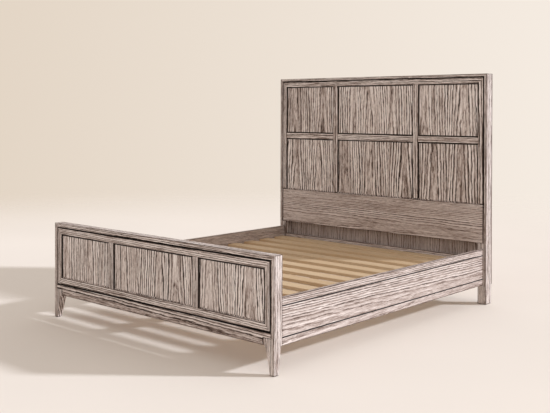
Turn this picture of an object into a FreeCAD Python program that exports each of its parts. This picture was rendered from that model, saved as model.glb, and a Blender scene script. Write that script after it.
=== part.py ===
import FreeCAD, Part
import math
import os

# Panelled bed frame: headboard, footboard, hook-on side rails, slats and a centre beam.
# Millimetres. X runs across the bed, Y from the foot to the head, Z up from the floor.
# Depths inside a board are measured from its front plane, which faces the foot end.

# Mattress and room around it
mattress_width = 1829.0
mattress_length = 2134.0
mattress_side_room = 6.5
mattress_end_room = 23.0
mattress_drop = 80.0

# Side rails
rail_thickness = 26.0
rail_inset = 28.0
rail_top = 390.0
rail_height = 252.0
rail_band = 40.0
rail_groove_width = 6.0
rail_groove_depth = 6.0

# Headboard case
headboard_height = 1632.0
head_post_width = 64.0
head_post_depth = 76.0
head_rim = 19.0
head_rail_inset = 20.0
head_back_thickness = 10.0
head_sill_height = 705.0
head_board_lift = 40.0
head_board_recess = 3.0
stretcher_thickness = 28.0
stretcher_height = 140.0
stretcher_rise = 40.0

# Footboard case
footboard_height = 622.0
foot_post_width = 80.0
foot_post_depth = 62.0
foot_rim = 24.0
foot_rail_height = 66.0
foot_back_thickness = 8.0
foot_back_lap = 12.0
foot_sill_margin = 12.0
block_reveal = 3.5
block_reveal_depth = 5.0

# Tapered legs of the footboard
leg_clearance = 152.0
leg_block_height = 37.0
leg_front_top = 62.0
leg_front_foot = 31.0
leg_side_top = 52.0
leg_side_foot = 32.0

# Inner frame, mullions and cross rails
rabbet_depth = 26.0
shadow_gap = 8.5
frame_width = 40.0
frame_face_outer = 1.0
frame_face_inner = 2.0
mullion_width = 47.0
mullion_spacing = 758.0
mullion_recess = 2.0
cross_rail_height = 48.0
cross_rail_level = 1157.0

# Panels in grooves
panel_recess = 7.5
panel_quirk = 7.0
tongue_recess = 13.0
tongue_thickness = 6.0
tongue_length = 8.5
groove_depth = 10.0

# Slats, cleats and centre support
slat_count = 12
slat_width = 100.0
slat_thickness = 20.0
slat_end_gap = 30.0
slat_side_gap = 2.0
cleat_width = 30.0
cleat_height = 40.0
cleat_end_gap = 20.0
beam_width = 40.0
beam_height = 70.0
hanger_gauge = 2.5
hanger_reach = 50.0
hanger_cheek = 50.0
hanger_plate_width = 100.0
hanger_plate_margin = 15.0
centre_leg_count = 2
centre_leg_size = 45.0
centre_leg_cheek = 12.0
centre_leg_fork = 40.0
centre_leg_neck = 25.0
centre_leg_bottom = 28.0

# Levelling feet and tee nuts
stud_radius = 4.0
stud_length = 51.0
foot_radius = 20.0
foot_rim_height = 6.0
foot_dome_height = 5.0
foot_hub_radius = 8.0
foot_travel_up = 12.0
nut_flange_radius = 12.0
nut_flange_thickness = 1.5
nut_barrel_wall = 1.6
nut_barrel_length = 12.0

# Rail hardware
plate_width = 20.0
plate_end = 18.0
plate_gauge = 2.5
hook_spacing = 88.0
hook_thickness = 4.0
hook_neck = 16.0
hook_lip = 4.0
hook_drop = 12.0
pocket_margin = 4.0

# Glides under the corner legs
glide_radius = 11.0
glide_thickness = 3.0

# Joinery and fits
tenon_length = 16.0
tenon_thickness = 12.0
tenon_shoulder = 20.0
arris = 1.2
wood_fit = 0.2
play = 0.3

# Positions that follow from the sizes above
half_inner = mattress_width / 2 + mattress_side_room
rail_outer = half_inner + rail_thickness
half_width = rail_outer + rail_inset
head_half_width = rail_outer + head_rail_inset
inner_length = mattress_length + 2 * mattress_end_room
total_length = foot_post_depth + inner_length + head_post_depth + head_back_thickness
y_foot = -total_length / 2
y_rail_start = y_foot + foot_post_depth
y_head = y_rail_start + inner_length
y_head_back = y_head + head_post_depth
rail_bottom = rail_top - rail_height
rail_middle = rail_top - rail_height / 2
rail_centre = half_inner + rail_thickness / 2
slat_seat = rail_top - mattress_drop - slat_thickness
leg_block_top = leg_clearance + leg_block_height
foot_rail_top = leg_clearance + foot_rail_height
foot_frame_bottom = foot_rail_top + shadow_gap
foot_sill_top = max(slat_seat + foot_sill_margin, foot_frame_bottom + frame_width)
head_ledge = rail_top + head_board_lift
tongue_back = tongue_recess + tongue_thickness
groove_front = tongue_recess - wood_fit
groove_back = tongue_back + wood_fit
hook_reach = plate_gauge + wood_fit + hook_lip
slot_height = hook_neck + hook_drop + 2 * play
hook_low = -(hook_spacing + slot_height) / 2
hook_high = (hook_spacing - slot_height) / 2
plate_height = hook_spacing + slot_height + 2 * plate_end
pocket_depth = hook_reach + pocket_margin

X_AXIS = FreeCAD.Vector(1, 0, 0)
Y_AXIS = FreeCAD.Vector(0, 1, 0)
Z_AXIS = FreeCAD.Vector(0, 0, 1)
ORIGIN = FreeCAD.Vector(0, 0, 0)

nodes = {}


def block(x0, x1, y0, y1, z0, z1):
    """Box between two corners."""
    return Part.makeBox(x1 - x0, y1 - y0, z1 - z0, FreeCAD.Vector(x0, y0, z0))


def slab(points, run):
    """Flat outline through 3-D points, extruded along a vector."""
    outline = Part.makePolygon(list(points) + [points[0]])
    return Part.Face(outline).extrude(run)


def one_solid(shape):
    """The single solid of a boolean result, with leftover seams removed."""
    return shape.removeSplitter().Solids[0]


def join(first, *others):
    """Fuse touching shapes into one solid."""
    return one_solid(first.fuse(list(others)))


def cut(first, *others):
    """Take shapes away from a solid."""
    return one_solid(first.cut(list(others)))


def mirrored(shape):
    """The same piece on the other side of the bed."""
    return shape.mirror(ORIGIN, X_AXIS)


def add_pair(name, right_hand):
    """Register a right-hand piece and its mirror image."""
    nodes[name + "_right"] = right_hand
    nodes[name + "_left"] = mirrored(right_hand)


def leg_outline(block_size, top_size, foot_size, top_level, place):
    """Outline of a leg seen square on, as a face.

    The outer edge is straight. The inner edge drops from the block, turns through a hollow
    that is tangent to the block's underside and to the taper, and runs straight to the foot.
    place(s, z) gives the 3-D point that is s inwards of the outer edge at height z.
    """
    slope = (top_size - foot_size) / leg_clearance
    lean = math.hypot(1.0, slope)
    radius = (block_size - top_size) / (lean - slope)
    centre_z = leg_clearance - radius
    taper_dir = (-1.0 / lean, slope / lean)
    mid_len = math.hypot(taper_dir[0], taper_dir[1] + 1.0)
    mid_dir = (taper_dir[0] / mid_len, (taper_dir[1] + 1.0) / mid_len)
    hollow_start = place(block_size, leg_clearance)
    hollow_mid = place(block_size + radius * mid_dir[0], centre_z + radius * mid_dir[1])
    hollow_end = place(block_size + radius * taper_dir[0], centre_z + radius * taper_dir[1])
    toe = place(foot_size + slope * glide_thickness, glide_thickness)
    heel = place(0.0, glide_thickness)
    crown = place(0.0, top_level)
    shoulder = place(block_size, top_level)
    edges = [
        Part.makeLine(heel, crown),
        Part.makeLine(crown, shoulder),
        Part.makeLine(shoulder, hollow_start),
        Part.Arc(hollow_start, hollow_mid, hollow_end).toShape(),
        Part.makeLine(hollow_end, toe),
        Part.makeLine(toe, heel),
    ]
    return Part.Face(Part.Wire(edges))


def tapered_leg():
    """Right-hand footboard leg: the front outline and the side outline, both kept."""
    front = leg_outline(
        foot_post_width, leg_front_top, leg_front_foot, leg_block_top,
        lambda s, z: FreeCAD.Vector(half_width - s, y_foot, z))
    side = leg_outline(
        foot_post_depth, leg_side_top, leg_side_foot, leg_block_top,
        lambda s, z: FreeCAD.Vector(half_width - foot_post_width, y_foot + s, z))
    seen_front = front.extrude(Y_AXIS * foot_post_depth)
    seen_side = side.extrude(X_AXIS * foot_post_width)
    return one_solid(seen_front.common(seen_side))


def case_post(outer, y_front, depth, width, rim, base_level, height):
    """Right-hand rabbeted post above base_level, cut at 45 degrees for the top rail."""
    y_back = y_front + depth
    rim_strip = block(outer - rim, outer, y_front, y_back, base_level, height)
    back = block(outer - width, outer, y_front + rabbet_depth, y_back, base_level, height)
    mitre = slab(
        [
            FreeCAD.Vector(outer, y_front, height),
            FreeCAD.Vector(outer - width, y_front, height),
            FreeCAD.Vector(outer - width, y_front, height - width),
        ],
        Y_AXIS * depth)
    return cut(join(rim_strip, back), mitre)


def case_top_rail(outer, y_front, depth, width, rim, height):
    """Top rail with the posts' rabbeted section, mitred at both ends."""
    section = [
        FreeCAD.Vector(-outer, y_front, height),
        FreeCAD.Vector(-outer, y_front + depth, height),
        FreeCAD.Vector(-outer, y_front + depth, height - width),
        FreeCAD.Vector(-outer, y_front + rabbet_depth, height - width),
        FreeCAD.Vector(-outer, y_front + rabbet_depth, height - rim),
        FreeCAD.Vector(-outer, y_front, height - rim),
    ]
    mitred_face = [
        FreeCAD.Vector(-outer, y_front, height),
        FreeCAD.Vector(outer, y_front, height),
        FreeCAD.Vector(outer - width, y_front, height - width),
        FreeCAD.Vector(-outer + width, y_front, height - width),
    ]
    bar = slab(section, X_AXIS * (2 * outer))
    return one_solid(bar.common(slab(mitred_face, Y_AXIS * depth)))


def frame_strip(corner, along, inward, length, mitre_start, mitre_end):
    """Bevelled inner-frame member with a panel groove in its inner edge.

    corner is the outer corner on the board's front plane, along the run of the strip, inward
    the way to the panels. A mitred end is cut at 45 degrees, the others are square.
    """
    profile = [
        (0.0, frame_face_outer + arris),
        (arris, frame_face_outer),
        (frame_width - arris, frame_face_inner),
        (frame_width, frame_face_inner + arris),
        (frame_width, groove_front),
        (frame_width - groove_depth, groove_front),
        (frame_width - groove_depth, groove_back),
        (frame_width, groove_back),
        (frame_width, rabbet_depth),
        (0.0, rabbet_depth),
    ]
    section = [corner + inward * s + Y_AXIS * d for s, d in profile]
    trim_start = frame_width if mitre_start else 0.0
    trim_end = frame_width if mitre_end else 0.0
    outline = [
        corner,
        corner + along * length,
        corner + along * (length - trim_end) + inward * frame_width,
        corner + along * trim_start + inward * frame_width,
    ]
    bar = slab(section, along * length)
    return one_solid(bar.common(slab(outline, Y_AXIS * rabbet_depth)))


def grooved_bar(corner, along, across, length, width):
    """Mullion or cross rail: a flat bar grooved on both edges, with a tongue at each end."""
    profile = [
        (arris, mullion_recess),
        (width - arris, mullion_recess),
        (width, mullion_recess + arris),
        (width, groove_front),
        (width - groove_depth, groove_front),
        (width - groove_depth, groove_back),
        (width, groove_back),
        (width, rabbet_depth),
        (0.0, rabbet_depth),
        (0.0, groove_back),
        (groove_depth, groove_back),
        (groove_depth, groove_front),
        (0.0, groove_front),
        (0.0, mullion_recess + arris),
    ]
    section = [corner + across * s + Y_AXIS * d for s, d in profile]
    tongue_start = corner + across * groove_depth + Y_AXIS * tongue_recess - along * tongue_length
    tongue_width = across * (width - 2 * groove_depth)
    tongue = slab(
        [
            tongue_start,
            tongue_start + tongue_width,
            tongue_start + tongue_width + Y_AXIS * tongue_thickness,
            tongue_start + Y_AXIS * tongue_thickness,
        ],
        along * (length + 2 * tongue_length))
    return join(slab(section, along * length), tongue)


def panel(x0, x1, y_front, z0, z1):
    """Panel for the opening x0..x1, z0..z1: a flat field and a thinner tongue all round."""
    tongue = block(
        x0 - tongue_length, x1 + tongue_length,
        y_front + tongue_recess, y_front + tongue_back,
        z0 - tongue_length, z1 + tongue_length)
    field = block(
        x0 + panel_quirk, x1 - panel_quirk,
        y_front + panel_recess, y_front + tongue_recess,
        z0 + panel_quirk, z1 - panel_quirk)
    front_edges = [e for e in field.Edges if e.BoundBox.YMax < y_front + panel_recess + arris / 2]
    return join(field.makeChamfer(arris, front_edges), tongue)


def bays(inner_edge):
    """Left and right limits of the three openings between the stiles and the mullions."""
    near = mullion_spacing / 2 - mullion_width / 2
    far = mullion_spacing / 2 + mullion_width / 2
    return [("left", -inner_edge, -far), ("centre", -near, near), ("right", far, inner_edge)]


def hook_plate(facing):
    """Rail-end plate with two hooks, at the origin; facing is +1 or -1, the way the hooks reach."""
    half_plate = plate_width / 2
    back_y = -facing * plate_gauge
    plate = block(
        -half_plate, half_plate, min(0.0, back_y), max(0.0, back_y),
        -plate_height / 2, plate_height / 2)
    hooks = []
    for level in (hook_low, hook_high):
        profile = [
            (0.0, level),
            (plate_gauge + wood_fit, level),
            (plate_gauge + wood_fit, level - hook_drop),
            (hook_reach, level - hook_drop + hook_lip / 2),
            (hook_reach, level + hook_neck - hook_lip),
            (hook_reach - hook_lip, level + hook_neck),
            (0.0, level + hook_neck),
        ]
        points = [FreeCAD.Vector(-hook_thickness / 2, facing * reach, z) for reach, z in profile]
        hooks.append(slab(points, X_AXIS * hook_thickness))
    return join(plate, *hooks)


def slot_plate(facing):
    """Post plate that takes the hooks, at the origin; facing as for the hook plate."""
    half_plate = plate_width / 2
    front_y = facing * plate_gauge
    plate = block(
        -half_plate, half_plate, min(0.0, front_y), max(0.0, front_y),
        -plate_height / 2, plate_height / 2)
    half_slot = hook_thickness / 2 + play
    slots = []
    for level in (hook_low, hook_high):
        slots.append(block(
            -half_slot, half_slot, min(0.0, front_y), max(0.0, front_y), level, level + slot_height))
    return cut(plate, *slots)


def post_recess(facing):
    """What a post loses for one slot plate: the plate's bed and the pocket for the hooks."""
    half_bed = plate_width / 2 + play
    bed_y = facing * plate_gauge
    bed = block(
        -half_bed, half_bed, min(0.0, bed_y), max(0.0, bed_y),
        -plate_height / 2 - play, plate_height / 2 + play)
    half_pocket = hook_thickness / 2 + pocket_margin
    deep_y = facing * pocket_depth
    low = hook_low - hook_drop - pocket_margin
    high = hook_high + slot_height + pocket_margin
    pocket = block(
        -half_pocket, half_pocket, min(bed_y, deep_y), max(bed_y, deep_y), low, high)
    return bed.fuse(pocket)


def rail_bed(facing):
    """What a rail end loses for its hook plate."""
    half_bed = plate_width / 2 + play
    back_y = -facing * plate_gauge
    return block(
        -half_bed, half_bed, min(0.0, back_y), max(0.0, back_y),
        -plate_height / 2 - play, plate_height / 2 + play)


def at(shape, x, y, z):
    """Copy of a shape moved from the origin."""
    return shape.translated(FreeCAD.Vector(x, y, z))


def rail_with_tenons(half_span, y0, thickness, z0, z1):
    """Square rail between two posts with a stub tenon at each end."""
    rail = block(-half_span, half_span, y0, y0 + thickness, z0, z1)
    return join(rail, tenon_bar(half_span, y0, thickness, z0, z1, 0.0))


def tenon_bar(half_span, y0, thickness, z0, z1, slack):
    """The stub tenons of such a rail as one long bar, or with slack the mortises for them."""
    middle = y0 + thickness / 2
    return block(
        -half_span - tenon_length - slack, half_span + tenon_length + slack,
        middle - tenon_thickness / 2 - slack, middle + tenon_thickness / 2 + slack,
        z0 + tenon_shoulder - slack, z1 - tenon_shoulder + slack)


# Headboard
head_inner = head_half_width - head_post_width
head_frame_outer = head_half_width - head_rim - shadow_gap
head_frame_inner = head_frame_outer - frame_width
head_frame_top = headboard_height - head_rim - shadow_gap
head_panel_top = head_frame_top - frame_width
head_leg = block(head_inner, head_half_width, y_head, y_head_back, glide_thickness, head_ledge)
head_upright = case_post(
    head_half_width, y_head, head_post_depth, head_post_width, head_rim, head_ledge, headboard_height)
stretcher_low = slat_seat + stretcher_rise - stretcher_height
stretcher_high = slat_seat + stretcher_rise
stretcher_mortise = tenon_bar(
    head_inner, y_head, stretcher_thickness, stretcher_low, stretcher_high, wood_fit)
head_recess = at(post_recess(1), rail_centre, y_head, rail_middle)
add_pair("headboard_post", cut(join(head_leg, head_upright), stretcher_mortise, head_recess))
nodes["headboard_top_rail"] = case_top_rail(
    head_half_width, y_head, head_post_depth, head_post_width, head_rim, headboard_height)
nodes["headboard_stretcher"] = rail_with_tenons(
    head_inner, y_head, stretcher_thickness, stretcher_low, stretcher_high)

lower_board = block(
    -head_frame_outer, head_frame_outer,
    y_head + head_board_recess, y_head + rabbet_depth, head_ledge, head_sill_height)
sill_groove = block(
    -head_frame_outer, head_frame_outer, y_head + groove_front, y_head + groove_back,
    head_sill_height - groove_depth, head_sill_height)
nodes["headboard_lower_board"] = cut(lower_board, sill_groove)

stile_foot = head_sill_height + panel_quirk
head_stile = frame_strip(
    FreeCAD.Vector(head_frame_outer, y_head, stile_foot), Z_AXIS, -X_AXIS,
    head_frame_top - stile_foot, False, True)
stile_tongue = block(
    head_frame_inner + groove_depth, head_frame_outer,
    y_head + tongue_recess, y_head + tongue_back,
    head_sill_height - tongue_length, stile_foot)
add_pair("headboard_inner_stile", join(head_stile, stile_tongue))
nodes["headboard_inner_top_rail"] = frame_strip(
    FreeCAD.Vector(-head_frame_outer, y_head, head_frame_top), X_AXIS, -Z_AXIS,
    2 * head_frame_outer, True, True)

mullion_left_edge = mullion_spacing / 2 - mullion_width / 2
head_mullion = grooved_bar(
    FreeCAD.Vector(mullion_left_edge, y_head, stile_foot), Z_AXIS, X_AXIS,
    head_panel_top - stile_foot, mullion_width)
mullion_foot = block(
    mullion_left_edge + groove_depth, mullion_left_edge + mullion_width - groove_depth,
    y_head + tongue_recess, y_head + tongue_back,
    head_sill_height - tongue_length, stile_foot)
add_pair("headboard_mullion", join(head_mullion, mullion_foot))

cross_low = cross_rail_level - cross_rail_height / 2
cross_high = cross_rail_level + cross_rail_height / 2
for side, x0, x1 in bays(head_frame_inner):
    nodes["headboard_cross_rail_" + side] = grooved_bar(
        FreeCAD.Vector(x0, y_head, cross_low), X_AXIS, Z_AXIS, x1 - x0, cross_rail_height)
    nodes["headboard_upper_panel_" + side] = panel(x0, x1, y_head, cross_high, head_panel_top)
    nodes["headboard_lower_panel_" + side] = panel(x0, x1, y_head, head_sill_height, cross_low)

nodes["headboard_back_panel"] = block(
    -head_half_width, head_half_width, y_head_back, y_head_back + head_back_thickness,
    rail_bottom, headboard_height)

# Footboard
foot_inner = half_width - foot_post_width
foot_frame_outer = half_width - foot_rim - shadow_gap
foot_frame_inner = foot_frame_outer - frame_width
foot_frame_top = footboard_height - foot_rim - shadow_gap
foot_panel_low = foot_frame_bottom + frame_width
foot_panel_top = foot_frame_top - frame_width
foot_back_limit = foot_inner + foot_back_lap
foot_back_low = foot_sill_top - foot_back_lap
foot_back_high = footboard_height - foot_post_width + foot_back_lap
back_rabbet = block(
    -foot_back_limit, foot_back_limit, y_rail_start - foot_back_thickness, y_rail_start,
    foot_back_low, foot_back_high)
foot_upright = case_post(
    half_width, y_foot, foot_post_depth, foot_post_width, foot_rim, leg_block_top, footboard_height)
foot_rail_back = y_foot + rabbet_depth
foot_rail_back_depth = foot_post_depth - rabbet_depth
foot_mortise = tenon_bar(
    foot_inner, foot_rail_back, foot_rail_back_depth, leg_clearance, foot_sill_top, wood_fit)
foot_recess = at(post_recess(-1), rail_centre, y_rail_start, rail_middle)
add_pair(
    "footboard_post",
    cut(join(tapered_leg(), foot_upright), back_rabbet, foot_mortise, foot_recess))
nodes["footboard_top_rail"] = cut(
    case_top_rail(
        half_width, y_foot, foot_post_depth, foot_post_width, foot_rim, footboard_height),
    back_rabbet)

apron = block(
    -foot_inner, foot_inner, y_foot, foot_rail_back, leg_clearance, foot_rail_top)
apron_ears = block(
    -half_width + foot_rim, half_width - foot_rim, y_foot, foot_rail_back,
    leg_block_top, foot_rail_top)
foot_backing = rail_with_tenons(
    foot_inner, foot_rail_back, foot_rail_back_depth, leg_clearance, foot_sill_top)
reveal_back = y_foot + block_reveal_depth
block_side_reveal = block(
    foot_inner - block_reveal, foot_inner, y_foot, reveal_back, leg_clearance, leg_block_top)
block_top_reveal = block(
    foot_inner - block_reveal, half_width - foot_rim, y_foot, reveal_back,
    leg_block_top, leg_block_top + block_reveal)
reveals = [block_side_reveal, block_top_reveal, mirrored(block_side_reveal), mirrored(block_top_reveal)]
nodes["footboard_bottom_rail"] = cut(join(apron, apron_ears, foot_backing), back_rabbet, *reveals)

foot_stile = frame_strip(
    FreeCAD.Vector(foot_frame_outer, y_foot, foot_frame_bottom), Z_AXIS, -X_AXIS,
    foot_frame_top - foot_frame_bottom, True, True)
add_pair("footboard_inner_stile", foot_stile)
nodes["footboard_inner_top_rail"] = frame_strip(
    FreeCAD.Vector(-foot_frame_outer, y_foot, foot_frame_top), X_AXIS, -Z_AXIS,
    2 * foot_frame_outer, True, True)
nodes["footboard_inner_bottom_rail"] = frame_strip(
    FreeCAD.Vector(-foot_frame_outer, y_foot, foot_frame_bottom), X_AXIS, Z_AXIS,
    2 * foot_frame_outer, True, True)
add_pair("footboard_mullion", grooved_bar(
    FreeCAD.Vector(mullion_left_edge, y_foot, foot_panel_low), Z_AXIS, X_AXIS,
    foot_panel_top - foot_panel_low, mullion_width))
for side, x0, x1 in bays(foot_frame_inner):
    nodes["footboard_panel_" + side] = panel(x0, x1, y_foot, foot_panel_low, foot_panel_top)
nodes["footboard_back_panel"] = block(
    -foot_back_limit + play, foot_back_limit - play,
    y_rail_start - foot_back_thickness, y_rail_start,
    foot_back_low + play, foot_back_high - play)

# Side rails with their cleats and hardware
groove_levels = [rail_bottom + rail_band, rail_top - rail_band - rail_groove_width]
rail_profile = [(half_inner, rail_bottom), (rail_outer - arris, rail_bottom)]
rail_profile.append((rail_outer, rail_bottom + arris))
for level in groove_levels:
    rail_profile.append((rail_outer, level))
    rail_profile.append((rail_outer - rail_groove_depth, level))
    rail_profile.append((rail_outer - rail_groove_depth, level + rail_groove_width))
    rail_profile.append((rail_outer, level + rail_groove_width))
rail_profile.append((rail_outer, rail_top - arris))
rail_profile.append((rail_outer - arris, rail_top))
rail_profile.append((half_inner + arris, rail_top))
rail_profile.append((half_inner, rail_top - arris))
rail_bar = slab(
    [FreeCAD.Vector(x, y_rail_start, z) for x, z in rail_profile], Y_AXIS * inner_length)
add_pair("side_rail", cut(
    rail_bar,
    at(rail_bed(-1), rail_centre, y_rail_start, rail_middle),
    at(rail_bed(1), rail_centre, y_head, rail_middle)))
add_pair("slat_cleat", block(
    half_inner - cleat_width, half_inner, y_rail_start + cleat_end_gap, y_head - cleat_end_gap,
    slat_seat - cleat_height, slat_seat))

hook_plates = []
slot_plates = []
for x in (-rail_centre, rail_centre):
    for y, facing in ((y_rail_start, -1), (y_head, 1)):
        hook_plates.append(at(hook_plate(facing), x, y, rail_middle))
        slot_plates.append(at(slot_plate(facing), x, y, rail_middle))
nodes["rail_hook_plates"] = Part.makeCompound(hook_plates)
nodes["post_slot_plates"] = Part.makeCompound(slot_plates)

# Slats
slat_half = half_inner - slat_side_gap
slat_run = inner_length - 2 * slat_end_gap - slat_width
for index in range(slat_count):
    y0 = y_rail_start + slat_end_gap + slat_run * index / (slat_count - 1)
    slat = block(
        -slat_half, slat_half, y0, y0 + slat_width, slat_seat, slat_seat + slat_thickness)
    long_top = [
        e for e in slat.Edges
        if e.BoundBox.XLength > slat_half and e.BoundBox.ZMin > slat_seat + arris]
    nodes["slat_%02d" % (index + 1)] = slat.makeFillet(2 * arris, long_top)

# Centre beam in its hangers
beam_bottom = slat_seat - beam_height
nodes["centre_beam"] = block(
    -beam_width / 2, beam_width / 2,
    y_rail_start + hanger_gauge + play, y_head - hanger_gauge - play,
    beam_bottom, slat_seat)
cheek_inner = beam_width / 2 + play
cheek_outer = cheek_inner + hanger_gauge
seat_low = beam_bottom - hanger_gauge
foot_hanger = join(
    block(-hanger_plate_width / 2, hanger_plate_width / 2,
          y_rail_start, y_rail_start + hanger_gauge,
          seat_low - hanger_plate_margin, slat_seat),
    block(-cheek_outer, cheek_outer,
          y_rail_start + hanger_gauge, y_rail_start + hanger_reach, seat_low, beam_bottom),
    block(cheek_inner, cheek_outer, y_rail_start + hanger_gauge, y_rail_start + hanger_reach,
          beam_bottom, beam_bottom + hanger_cheek),
    block(-cheek_outer, -cheek_inner, y_rail_start + hanger_gauge, y_rail_start + hanger_reach,
          beam_bottom, beam_bottom + hanger_cheek))
bed_middle = (y_rail_start + y_head) / 2
head_hanger = foot_hanger.mirror(FreeCAD.Vector(0, bed_middle, 0), Y_AXIS)
nodes["beam_hangers"] = Part.makeCompound([foot_hanger, head_hanger])

# Centre legs, tee nuts and levelling feet
nut_bore = stud_radius + play
nut_barrel = nut_bore + nut_barrel_wall
fork_half = cheek_inner + centre_leg_cheek
fork_slot = cheek_inner
leg_half = centre_leg_size / 2
stud_top = foot_rim_height + foot_dome_height + stud_length
tee_nuts = []
for index in range(centre_leg_count):
    y_leg = y_rail_start + inner_length * (index + 1) / (centre_leg_count + 1)
    shoulder_low = beam_bottom - centre_leg_neck
    neck_low = shoulder_low - (fork_half - leg_half)
    outline = [
        (-fork_half, beam_bottom + centre_leg_fork),
        (-fork_slot, beam_bottom + centre_leg_fork),
        (-fork_slot, beam_bottom),
        (fork_slot, beam_bottom),
        (fork_slot, beam_bottom + centre_leg_fork),
        (fork_half, beam_bottom + centre_leg_fork),
        (fork_half, shoulder_low),
        (leg_half, neck_low),
        (leg_half, centre_leg_bottom),
        (-leg_half, centre_leg_bottom),
        (-leg_half, neck_low),
        (-fork_half, shoulder_low),
    ]
    post = slab(
        [FreeCAD.Vector(x, y_leg - leg_half, z) for x, z in outline], Y_AXIS * centre_leg_size)
    axis_point = FreeCAD.Vector(0, y_leg, centre_leg_bottom)
    nut_seat = Part.makeCylinder(nut_barrel + wood_fit, nut_barrel_length + play, axis_point)
    stud_bore_top = stud_top + foot_travel_up + pocket_margin
    stud_bore = Part.makeCylinder(nut_bore + play, stud_bore_top - centre_leg_bottom, axis_point)
    nodes["centre_leg_%d" % (index + 1)] = cut(post, nut_seat, stud_bore)

    flange_point = FreeCAD.Vector(0, y_leg, centre_leg_bottom - nut_flange_thickness)
    flange = Part.makeCylinder(nut_flange_radius, nut_flange_thickness, flange_point)
    barrel = Part.makeCylinder(nut_barrel, nut_barrel_length, axis_point)
    bore = Part.makeCylinder(
        nut_bore, nut_flange_thickness + nut_barrel_length, flange_point)
    tee_nuts.append(cut(join(flange, barrel), bore))

    hub_top = foot_rim_height + foot_dome_height
    foot_profile = [
        FreeCAD.Vector(0, y_leg, 0),
        FreeCAD.Vector(foot_radius - arris, y_leg, 0),
        FreeCAD.Vector(foot_radius, y_leg, arris),
        FreeCAD.Vector(foot_radius, y_leg, foot_rim_height),
        FreeCAD.Vector(foot_hub_radius, y_leg, hub_top),
        FreeCAD.Vector(stud_radius, y_leg, hub_top),
        FreeCAD.Vector(stud_radius, y_leg, stud_top - arris),
        FreeCAD.Vector(stud_radius - arris, y_leg, stud_top),
        FreeCAD.Vector(0, y_leg, stud_top),
    ]
    foot_face = Part.Face(Part.makePolygon(foot_profile + [foot_profile[0]]))
    nodes["levelling_foot_%d" % (index + 1)] = foot_face.revolve(
        FreeCAD.Vector(0, y_leg, 0), Z_AXIS, 360)
nodes["tee_nuts"] = Part.makeCompound(tee_nuts)

# Glides under the corner legs
glides = []
for side in (-1, 1):
    foot_x = side * (half_width - leg_front_foot / 2)
    head_x = side * (head_half_width - head_post_width / 2)
    for x, y in ((foot_x, y_foot + leg_side_foot / 2), (head_x, y_head + head_post_depth / 2)):
        glides.append(Part.makeCylinder(glide_radius, glide_thickness, FreeCAD.Vector(x, y, 0)))
nodes["leg_glides"] = Part.makeCompound(glides)

os.makedirs("parts", exist_ok=True)
for name, shape in nodes.items():
    shape.exportStep("parts/" + name + ".step")
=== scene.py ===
import math
import bpy
import numpy as np
from mathutils import Matrix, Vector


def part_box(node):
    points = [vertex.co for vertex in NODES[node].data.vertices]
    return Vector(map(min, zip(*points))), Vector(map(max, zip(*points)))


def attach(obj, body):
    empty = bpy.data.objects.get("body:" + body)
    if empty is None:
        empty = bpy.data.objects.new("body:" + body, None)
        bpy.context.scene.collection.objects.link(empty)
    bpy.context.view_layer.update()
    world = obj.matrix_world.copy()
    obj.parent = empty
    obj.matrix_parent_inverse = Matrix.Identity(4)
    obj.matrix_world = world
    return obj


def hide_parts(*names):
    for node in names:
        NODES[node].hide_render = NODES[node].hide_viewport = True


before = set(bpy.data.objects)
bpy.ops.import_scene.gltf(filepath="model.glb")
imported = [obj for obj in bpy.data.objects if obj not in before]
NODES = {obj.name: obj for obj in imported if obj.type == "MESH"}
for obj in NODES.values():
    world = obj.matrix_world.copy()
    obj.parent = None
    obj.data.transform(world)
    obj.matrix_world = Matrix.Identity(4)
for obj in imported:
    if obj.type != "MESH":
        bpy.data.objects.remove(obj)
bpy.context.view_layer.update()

# Panelled bed frame in weathered oak, with a pine slat base and zinc-plated fittings.
# Metres, in the frame's own axes: X across the bed, Y from foot to head, Z up.

ROOT = "frame"
ZERO = (0.0, 0.0, 0.0)
FULL_TURN = 2 * math.pi
GOLDEN_ANGLE = math.pi * (3.0 - math.sqrt(5.0))

# Sockets of a Mix node set to colours: the two colours and the result
MIX_COLOURS = (6, 7)
MIX_RESULT = 2

# Camera, from the picture's perspective
PICTURE_WIDTH = 550.0
PICTURE_HEIGHT = 413.0
FOCAL_PIXELS = 871.0
HORIZON_CENTRE_ROW = 116.2
SENSOR = 36.0
CAMERA_PLACE = (3.9462, -4.4833, 1.3688)
CAMERA_HEADING = 0.7301
CAMERA_DIP = 0.0068
CAMERA_ROLL = 0.0027

# Light: a soft sun from the bed's right and head, and an even sky
SUN_STRENGTH = 2.8
SUN_SPREAD = math.radians(4.0)
SUN_FROM = (0.69, 0.58, 0.43)
SUN_COLOUR = (0.94, 0.995, 1.10)
SKY_STRENGTH = 0.69
SKY_COLOUR = (1.0, 0.948, 0.915, 1.0)

# Pale floor, which fades out into an even backdrop that is a little lighter towards the sun.
# Its faint cloud is (scale, detail)
FLOOR_COLOUR = (0.887, 0.806, 0.722)
FLOOR_DIM = 0.97
FLOOR_CLOUD = (0.6, 2.0)
FLOOR_CLOUD_ENDS = (0.3, 0.7)
FLOOR_ROUGH = 0.9
FLOOR_GLOSS = 0.1
FLOOR_RINGS = (14.0, 10.0, 7.0, 4.0, 2.0, 0.5)
FLOOR_COLUMNS = 96
FLOOR_FADE = (3.5, 9.5)
SHADE_SIDE = (0.767, 0.664, 0.556)
LIGHT_SIDE = (0.931, 0.854, 0.777)
BACKDROP_SPAN = 0.35

# Eased edges of the boards
ARRIS = 0.0013
ARRIS_STEPS = 2
WELD = 0.00002
FLAT_ANGLE = math.radians(1.0)
CORNER_ANGLE = math.radians(28.0)

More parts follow.
